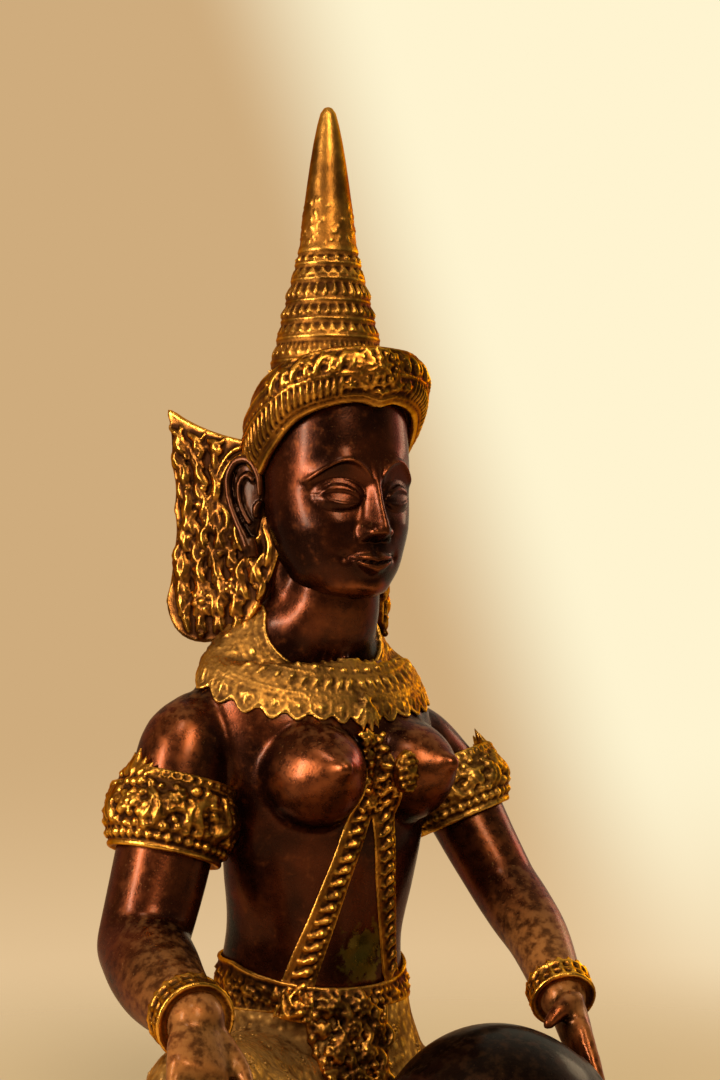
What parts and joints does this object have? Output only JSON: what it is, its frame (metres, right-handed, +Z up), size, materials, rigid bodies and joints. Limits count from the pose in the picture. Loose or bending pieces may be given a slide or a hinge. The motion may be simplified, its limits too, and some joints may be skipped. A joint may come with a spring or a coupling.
{
  "type": "bronze drummer statue",
  "caption": "Seated cast bronze drummer in a tall tiered crown, gilt jewellery and pleated cloth, with a barrel drum across the lap on a low stepped base.",
  "frame": {"origin": "middle of the base's underside", "axes": "+Z up along the crown's spire, -Y the way that the figure faces, +X towards the figure's left"},
  "size_m": [0.178, 0.146, 0.3],
  "materials": {
    "patinated_bronze": "cast bronze with a dark red-brown patina, half glossy, dusty on top",
    "gilt_bronze": "raised jewellery with rubbed gilding and dark recesses",
    "drum_bronze": "smooth cast bronze with a dark brown patina",
    "base_bronze": "plain cast bronze with a dark brown patina, worn at its edges"
  },
  "bodies": {
    "root": {"figure": "patinated_bronze", "drum": "drum_bronze", "base": "base_bronze"}
  },
  "joints": []
}
